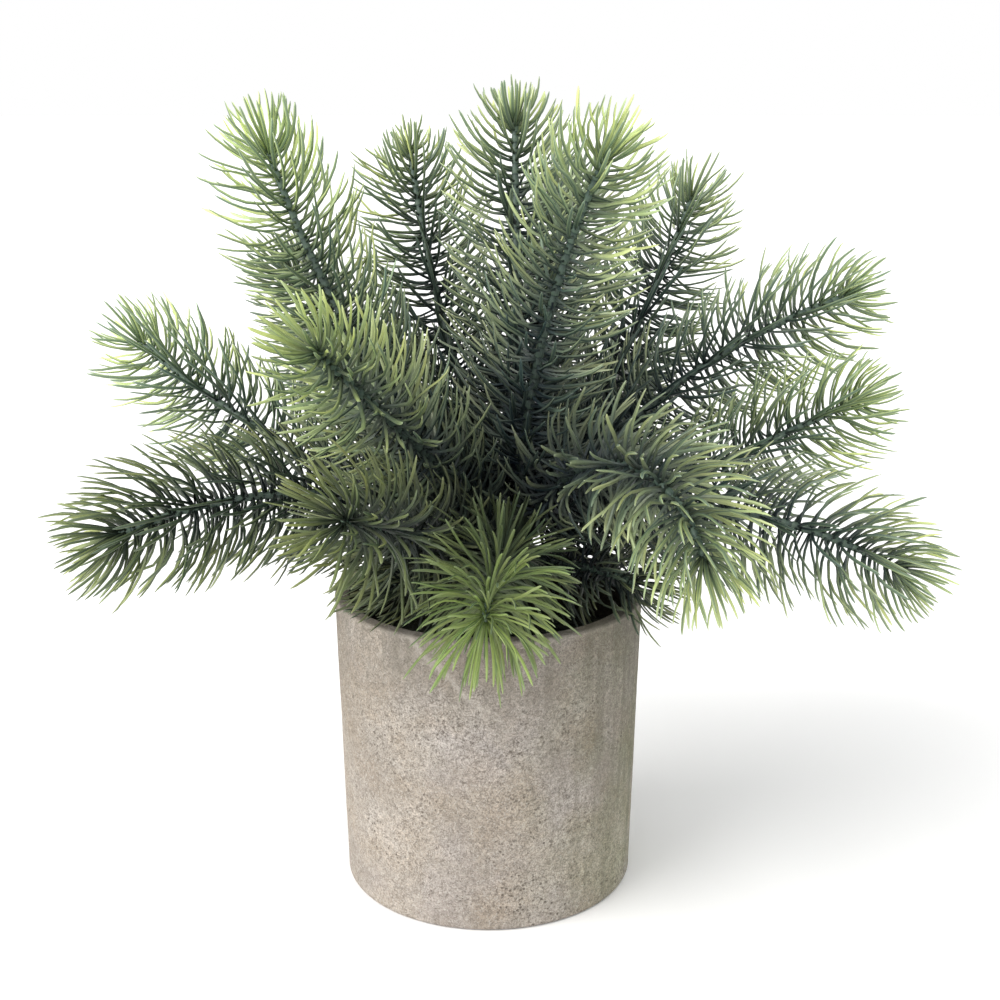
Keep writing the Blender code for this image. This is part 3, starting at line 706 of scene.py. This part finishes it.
# needles in a whorl, pitch of the whorls, thickness, paleness and length of the needles,
# how far they gather into two rows, as a flat mould leaves them, and how far their dark
# feet fade, all along and towards the tip; the lowest paleness, on sprigs 13, 20 and 21,
# is painted shade for sprigs set deep in the tree
HABIT = {
    "sprig_01": (8, 0.0040, 1.06, 1.42, 1.00, 0.32, 0.26, 0.26),
    "sprig_02": (8, 0.0040, 1.04, 1.22, 0.96, 0.34, 0.12, 0.26),
    "sprig_03": (8, 0.0041, 1.06, 1.24, 1.00, 0.34, 0.12, 0.24),
    "sprig_04": (8, 0.0041, 1.06, 1.34, 1.00, 0.32, 0.16, 0.22),
    "sprig_05": (8, 0.0041, 1.04, 1.28, 0.98, 0.34, 0.12, 0.26),
    "sprig_06": (8, 0.0042, 1.02, 1.42, 1.00, 0.38, 0.20, 0.22),
    "sprig_07": (8, 0.0042, 1.02, 1.38, 1.00, 0.36, 0.16, 0.26),
    "sprig_08": (9, 0.0038, 1.02, 1.12, 1.00, 0.0, 0.08, 0.14),
    "sprig_09": (8, 0.0039, 1.02, 1.18, 1.00, 0.32, 0.04, 0.16),
    "sprig_10": (8, 0.0042, 1.02, 1.46, 1.02, 0.34, 0.22, 0.26),
    "sprig_11": (10, 0.0038, 1.04, 0.68, 1.05, 0.22, 0.0, 0.12),
    "sprig_12": (8, 0.0041, 1.02, 1.16, 1.00, 0.08, 0.05, 0.12),
    "sprig_13": (9, 0.0038, 0.88, 0.50, 1.05, 0.0, 0.0, 0.0),
    "sprig_14": (11, 0.0036, 0.74, 0.66, 1.06, 0.0, 0.28, 0.26),
    "sprig_20": (9, 0.0034, 0.90, 0.50, 0.90, 0.0, 0.0, 0.0),
    "sprig_21": (10, 0.0034, 0.90, 0.32, 1.00, 0.0, 0.0, 0.0),
}
USUAL = (9, 0.0040, 1.02, 0.85, 1.0, 0.0, 0.0, 0.20)
JOINTS = {j["child"]: j for j in frame["joints"]}
STEM_R0, STEM_R1 = 0.0019, 0.0013
NEEDLE = 0.0312               # needle length along its curve
NEEDLE_W, NEEDLE_T = 0.00067, 0.00053   # half its width and thickness


def stem_line(name, count=241):
    """World points and directions along a stem, from its joint's place and axis."""
    turn, rise0, rise1, length = SPRIGS[name][:4]
    joint = JOINTS[name]
    ax = joint["axis"]
    head = math.atan2(ax[0], -ax[1])
    t = np.linspace(0.0, 1.0, count)
    h = head + np.radians(turn * t)
    r = np.radians(rise0 + (rise1 - rise0) * t)
    d = np.stack([np.cos(r) * np.cos(h), np.cos(r) * np.sin(h), np.sin(r)], 1)
    p = np.zeros((count, 3))
    p[1:] = np.cumsum(0.5 * (d[1:] + d[:-1]) * length / (count - 1), axis=0)
    return p + np.array(joint["pos_m"]), d, length


def frames(d):
    """Two directions square to each tangent, carried along without twist."""
    n = np.zeros_like(d)
    up = np.array([0.0, 0.0, 1.0]) if abs(d[0, 2]) < 0.9 else np.array([1.0, 0.0, 0.0])
    u = up - d[0] * np.dot(up, d[0])
    n[0] = u / np.linalg.norm(u)
    for i in range(1, len(d)):
        u = n[i - 1] - d[i] * np.dot(n[i - 1], d[i])
        n[i] = u / np.linalg.norm(u)
    return n, np.cross(d, n)


RIM_IN = POT_R - WALL - 0.0008
RIM_OUT = POT_R + 0.0008
RIM_TOP = POT_H + 0.0008
FILL_Z = fh.z + 0.0002


def in_pot(p):
    """True for each needle, a row of points, that has a point in the pot or its filling."""
    r = np.hypot(p[..., 0], p[..., 1])
    z = p[..., 2]
    solid = (r < RIM_OUT) & (z < RIM_TOP) & ~((r < RIM_IN) & (z > FILL_Z))
    return (solid | (z < 0.0006)).any(axis=-1)


def rotate_about(p, origin, axis, angle):
    q = p - origin
    c, s = math.cos(angle), math.sin(angle)
    return origin + q * c + np.cross(axis, q) * s + (q @ axis)[..., None] * axis * (1.0 - c)


def build_needles(name):
    """One moulded sleeve: whorls of curved needles up the wire and a fan that closes the tip."""
    turn, rise0, rise1, length, young, lean, tip_scale = SPRIGS[name]
    per_whorl, pitch, girth, light, reach, rows, lift, hub = HABIT.get(name, USUAL)
    front = np.array([0.0, -1.0, 0.30])
    rng = np.random.default_rng(100 + int(name[-2:]))
    P, D, _ = stem_line(name)
    N, B = frames(D)
    lean_dir = np.array([math.cos(lean[0]), 0.0, math.sin(lean[0])])
    origins, R, T, th0, th1, ln, growth, slim, facing_shade = [], [], [], [], [], [], [], [], []
    s = 0.0095
    w = 0
    while s < length - 0.0006:
        i = int(round(s / length * (len(P) - 1)))
        near_tip = max(0.0, 1.0 - (length - s) / 0.018)
        upper = max(0.0, 1.0 - (length - s) / min(0.040, 0.5 * length)) ** 1.2
        count = per_whorl + (w % 2)
        ph = w * 2.399963 * 0.5 + rng.uniform(-0.25, 0.25)
        for k in range(count):
            a = ph + 2 * math.pi * (k + rng.uniform(-0.24, 0.24)) / count
            j = min(len(P) - 1, max(0, i + int(rng.integers(-3, 4))))
            a += rows * math.sin(2.0 * (a - math.atan2(front @ B[j], front @ N[j])))
            rad = math.cos(a) * N[j] + math.sin(a) * B[j]
            droop = lean[1] * float(rad @ lean_dir)
            origins.append(P[j] + rad * 0.0008)
            R.append(rad)
            T.append(D[j])
            t0 = rng.normal(93.0, 7.0) + droop
            t1 = rng.normal(39.0, 9.0) + droop
            t0 += (68.0 + 0.5 * droop - t0) * upper
            t1 += (12.0 + rng.normal(0.0, 6.0) + 0.5 * droop - t1) * upper
            th0.append(math.radians(t0))
            th1.append(math.radians(t1))
            shrink = 1.0 - 0.22 * max(0.0, 1.0 - s / 0.035)
            shrink *= 1.0 + (tip_scale - 1.0) * near_tip ** 0.8
            ln.append(NEEDLE * reach * rng.normal(1.0, 0.08) * shrink)
            growth.append(s / length)
            slim.append(girth)
            # painted shade: how far the needle points to the front or back sets how much it is darkened, less
            # so near the tip
            across = front - D[j] * float(front @ D[j])
            flat = float(rad @ across) / np.linalg.norm(across)
            facing_shade.append(flat * flat * (1.0 - upper) if rows > 0.1 else 0.0)
        s += pitch * rng.uniform(0.9, 1.1)
        w += 1
    fan = 24 if per_whorl < 10 else 32
    for k in range(fan):                  # the fan that closes the tip
        a = 2 * math.pi * k * 0.381966 + rng.uniform(-0.3, 0.3)
        out = 5.0 + 55.0 * math.sqrt((k + 0.5) / fan) * rng.uniform(0.88, 1.12)
        rad = math.cos(a) * N[-1] + math.sin(a) * B[-1]
        origins.append(P[-1] + rad * 0.0006 + D[-1] * (0.0004 - 0.0030 * (k / fan)))
        R.append(rad)
        T.append(D[-1])
        th0.append(math.radians(out + 6.0))
        th1.append(math.radians(out * 0.30 + rng.normal(0.0, 5.0)))
        ln.append(NEEDLE * reach * rng.normal(tip_scale * (0.90 + 0.14 * k / fan), 0.05))
        growth.append(1.0)
        slim.append(0.86 * girth)
        facing_shade.append(0.0)
    origins, R, T = map(np.array, (origins, R, T))
    th0, th1, ln, growth, slim, facing_shade = map(np.array, (th0, th1, ln, growth, slim, facing_shade))
    n = len(origins)
    side = np.cross(T, R)
    curl = rng.normal(0.0, 0.27, n)       # sideways sweep in radians over the length
    hook = rng.normal(0.0, 0.19, n)       # S-shaped bend
    fine = 24
    uf = np.linspace(0.0, 1.0, fine + 1)
    ang = th0[:, None] + (th1 - th0)[:, None] * uf[None] ** 0.8 + hook[:, None] * np.sin(2 * math.pi * uf)[None]
    sw = curl[:, None] * uf[None]
    dirs = (np.cos(ang)[..., None] * T[:, None]
            + (np.sin(ang) * np.cos(sw))[..., None] * R[:, None]
            + (np.sin(ang) * np.sin(sw))[..., None] * side[:, None])
    step = 0.5 * (dirs[:, 1:] + dirs[:, :-1]) * (ln / fine)[:, None, None]
    line = np.zeros((n, fine + 1, 3))
    line[:, 1:] = np.cumsum(step, axis=1)
    line += origins[:, None]
    # a needle that would pass through the pot lies against it instead: it turns about its
    # foot, by the smallest turn that leaves it clear at rest and at the lowest bend
    joint = JOINTS[name]
    o, ax = np.array(joint["pos_m"]), np.array(joint["axis"])
    lows = [math.radians(v) for v in (0.0, joint["range_deg"][0], 0.5 * joint["range_deg"][0])]

    def touching(q):
        return np.any([in_pot(rotate_about(q, o, ax, v)) for v in lows], axis=0)

    todo = np.where(touching(line))[0]
    for turn_deg in (7, 14, 21, 28, 36, 44, 53, 62, 72, 84, 96, 110):
        if not len(todo):
            break
        left = []
        for i in todo:
            run = line[i, -1] - line[i, 0]
            run = run / np.linalg.norm(run)
            out = line[i, 0] * np.array([1.0, 1.0, 0.0])
            out = out / max(np.linalg.norm(out), 1e-6)
            flat = np.cross(out, (0.0, 0.0, 1.0))
            trials = []
            for goal in ((0.0, 0.0, 1.0), out + np.array([0.0, 0.0, 0.6]), flat, -flat):
                axis = np.cross(run, goal)
                if np.linalg.norm(axis) < 1e-3:
                    continue
                axis = axis / np.linalg.norm(axis)
                trials.append(rotate_about(line[i], line[i, 0], axis, math.radians(turn_deg)))
            trials = np.array(trials)
            good = np.where(~touching(trials))[0]
            if len(good):
                line[i] = trials[good[0]]
            else:
                left.append(i)
        todo = np.array(left, int)
    keep = np.ones(n, bool)
    keep[todo] = False
    n = int(keep.sum())
    origins, R, T, side, ln, growth, slim, facing_shade = (
        v[keep] for v in (origins, R, T, side, ln, growth, slim, facing_shade))
    line = line[keep]
    u = np.array([0.0, 0.10, 0.26, 0.44, 0.62, 0.80, 0.94, 1.0])
    m = len(u)
    pts = np.stack([np.stack([np.interp(u, uf, line[i, :, c]) for c in range(3)], -1)
                    for i in range(n)])
    tang = np.gradient(pts, axis=1)
    tang /= np.maximum(np.linalg.norm(tang, axis=2, keepdims=True), 1e-9)
    # section: a rod with four rounded faces, turned so that two of them show
    wide = np.cross(tang, np.broadcast_to(R[:, None], tang.shape))
    bad = np.linalg.norm(wide, axis=2, keepdims=True) < 0.2
    wide = np.where(bad, np.broadcast_to(side[:, None], tang.shape), wide)
    wide -= tang * (wide * tang).sum(2, keepdims=True)
    wide /= np.linalg.norm(wide, axis=2, keepdims=True)
    thick = np.cross(wide, tang)
    roll = (rng.normal(0.0, 0.4, n)[:, None] + rng.normal(0.0, 0.3, n)[:, None] * u[None])[..., None]
    wide, thick = wide * np.cos(roll) + thick * np.sin(roll), thick * np.cos(roll) - wide * np.sin(roll)
    prof = np.array([0.92, 0.84, 0.96, 1.0, 1.0, 0.92, 0.70, 0.22])
    fat = (rng.normal(1.0, 0.08, n) * slim)[:, None]
    half_w = NEEDLE_W * prof[None] * fat
    half_t = NEEDLE_T * np.array([1.1, 0.95, 1.0, 1.0, 0.96, 0.85, 0.62, 0.20])[None] * fat
    ring = np.stack([pts + wide * half_w[..., None], pts + thick * half_t[..., None],
                     pts - wide * half_w[..., None], pts - thick * half_t[..., None]], 2)
    segs = m - 1
    verts = ring.reshape(-1, 3)
    base = (np.arange(n) * m * 4)[:, None, None]
    seg = (np.arange(segs) * 4)[None, :, None]
    q = np.arange(4)[None, None, :]
    a = base + seg + q
    b = base + seg + (q + 1) % 4
    quads = np.stack([a, b, b + 4, a + 4], -1).reshape(-1, 4)
    caps0 = (np.arange(n) * m * 4)[:, None] + np.array([3, 2, 1, 0])[None]
    caps1 = (np.arange(n) * m * 4 + segs * 4)[:, None] + np.array([0, 1, 2, 3])[None]
    faces = np.vstack([quads, caps0, caps1])
    me = bpy.data.meshes.new("fir_needles_" + name[-2:])
    me.vertices.add(len(verts))
    me.vertices.foreach_set("co", verts.astype(np.float32).ravel())
    me.loops.add(faces.size)
    me.loops.foreach_set("vertex_index", faces.astype(np.int32).ravel())
    me.polygons.add(len(faces))
    me.polygons.foreach_set("loop_start", np.arange(0, faces.size, 4, dtype=np.int32))
    me.update(calc_edges=True)
    me.shade_smooth()
    # the four long edges of each needle stay crisp
    ev = np.zeros(len(me.edges) * 2, np.int32)
    me.edges.foreach_get("vertices", ev)
    ev = ev.reshape(-1, 2)
    sharp = (np.abs(ev[:, 1] - ev[:, 0]) == 4)
    at = me.attributes.get("sharp_edge") or me.attributes.new("sharp_edge", "BOOLEAN", "EDGE")
    at.data.foreach_set("value", sharp)
    # what the material reads: place along the needle, place along the sprig, and chances
    col = np.ones((n, m, 4, 4), np.float32)
    col[..., 0] = u[None, :, None]
    col[..., 1] = growth[:, None, None]
    col[..., 2] = np.clip(rng.normal(0.35, 0.3, n), 0, 1)[:, None, None]
    ca = me.color_attributes.new("needle", "FLOAT_COLOR", "POINT")
    ca.data.foreach_set("color", col.ravel())
    ed = np.zeros((n, m, 4, 4), np.float32)
    # painted shade: the face turned to the wire is marked to be painted darker than the face turned out, which
    # is painted paler as if lit
    ed[..., 0] = np.array([0.45, 0.0, 0.45, 1.0])[None, None]
    ed[..., 1] = np.clip(rng.normal(0.3, 0.35, n), 0, 1)[:, None, None]
    # painted shade: needles pointing to the front or back, between the two rows, are marked to be darkened,
    # leaving the rows paler as if lit from behind
    ed[..., 2] = facing_shade[:, None, None]
    ed[..., 3] = 1.0
    cb = me.color_attributes.new("needle_shade_and_tint", "FLOAT_COLOR", "POINT")
    cb.data.foreach_set("color", ed.ravel())
    me.materials.append(needle_material("needle_green_" + name[-2:], young, light, lift, hub))
    ob = bpy.data.objects.new(me.name, me)
    bpy.context.scene.collection.objects.link(ob)
    return ob


def build_stem(name):
    """The coated wire, with the stacked collars of the moulded whorls along it."""
    P, D, length = stem_line(name)
    N, B = frames(D)
    pitch = HABIT.get(name, USUAL)[1]
    marks = [(-0.0019, 0.0002), (-0.0018, 0.0008), (-0.0014, 0.00128), (-0.0008, 0.00172), (0.0, 0.0019), (0.004, 0.0019), (0.0075, 0.00185)]
    # painted light on each ring of the wire: low in the grooves between collars as painted shade, high on the
    # collar ridges as painted highlight
    relief_light = [0.3] * len(marks)
    s = 0.0085
    while s < length - 0.002:
        base = STEM_R0 + (STEM_R1 - STEM_R0) * s / length
        for f, k, c in ((0.0, 0.86, 0.0), (0.12, 1.06, 0.9), (0.55, 1.0, 0.6), (0.92, 0.88, 0.25)):
            marks.append((s + f * pitch, base * k))
            relief_light.append(c)
        s += pitch
    while marks[-1][0] > length - 0.0012:
        marks.pop()
        relief_light.pop()
    marks += [(length - 0.0008, STEM_R1), (length, 0.8 * STEM_R1), (length + 0.0010, 0.25 * STEM_R1)]
    relief_light += [0.7, 0.9, 1.0]
    sides = 12
    verts, faces, relief_lights, grow, rows = [], [], [], [], []
    sa = np.linspace(0.0, length, len(P))
    for (s, r), c in zip(marks, relief_light):
        sc = min(max(s, 0.0), length)
        p = np.array([np.interp(sc, sa, P[:, k]) for k in range(3)])
        i = int(round(sc / length * (len(P) - 1)))
        p = p + D[i] * (s - sc)
        row = []
        for k in range(sides):
            a = 2 * math.pi * k / sides
            row.append(len(verts))
            verts.append(p + (math.cos(a) * N[i] + math.sin(a) * B[i]) * r)
            relief_lights.append(c)
            grow.append(sc / length)
        rows.append(row)
    for a, b in zip(rows, rows[1:]):
        for i in range(sides):
            j = (i + 1) % sides
            faces.append((a[i], a[j], b[j], b[i]))
    faces.append(tuple(reversed(rows[0])))
    faces.append(tuple(rows[-1]))
    ob = mesh_object("fir_stem_" + name[-2:], verts, faces, MAT_STEM)
    at = ob.data.color_attributes.new("stem", "FLOAT_COLOR", "POINT")
    for i in range(len(relief_lights)):
        at.data[i].color = (relief_lights[i], grow[i], 0.0, 1.0)
    return ob


for name in SPRIGS:
    stem = build_stem(name)
    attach(stem, name)
    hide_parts(name + "_stem")
    needles = build_needles(name)
    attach(needles, name)
    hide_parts(name + "_needles")

# ------------------------------------------------------------------------------ studio
bpy.context.scene.view_settings.view_transform = "Standard"
floor_mat, fnt, fb = node_material("studio_floor", (0.97, 0.97, 0.97), 0.95)
fb.inputs["Specular IOR Level"].default_value = 0.0
bm = bmesh.new()
bmesh.ops.create_circle(bm, cap_ends=True, segments=128, radius=40.0)
fm = bpy.data.meshes.new("floor")
bm.to_mesh(fm)
bm.free()
fm.materials.append(floor_mat)
floor = bpy.data.objects.new("floor", fm)
floor.location = (0.0, 0.0, -0.0002)
bpy.context.scene.collection.objects.link(floor)

world = bpy.data.worlds.new("studio")
bpy.context.scene.world = world
world.use_nodes = True
wnt = world.node_tree
bg = wnt.nodes["Background"]
bg.inputs["Color"].default_value = (1.0, 1.0, 1.0, 1.0)
bg.inputs["Strength"].default_value = 0.90
seen = wnt.nodes.new("ShaderNodeBackground")
seen.inputs["Color"].default_value = (1.0, 1.0, 1.0, 1.0)
seen.inputs["Strength"].default_value = 1.0
pick = wnt.nodes.new("ShaderNodeMixShader")
wnt.links.new(wnt.nodes.new("ShaderNodeLightPath").outputs["Is Camera Ray"], pick.inputs["Fac"])
wnt.links.new(bg.outputs[0], pick.inputs[1])
wnt.links.new(seen.outputs[0], pick.inputs[2])
wnt.links.new(pick.outputs[0], wnt.nodes["World Output"].inputs["Surface"])


def sun(name, toward, strength, spread, colour=(1.0, 1.0, 1.0)):
    """A wide soft light a long way off, shining along the direction given."""
    light = bpy.data.lights.new(name, "SUN")
    light.energy = strength
    light.angle = math.radians(spread)
    light.color = colour
    ob = bpy.data.objects.new(name, light)
    ob.rotation_euler = Vector(toward).to_track_quat("-Z", "Y").to_euler()
    ob.location = (0.0, 0.0, 2.0)
    bpy.context.scene.collection.objects.link(ob)
    return ob


sun("key", (0.80, 0.44, -0.68), 2.75, 50.0, (1.0, 0.985, 0.96))
sun("fill", (-0.10, 0.85, -0.50), 0.35, 60.0, (0.97, 1.0, 1.0))
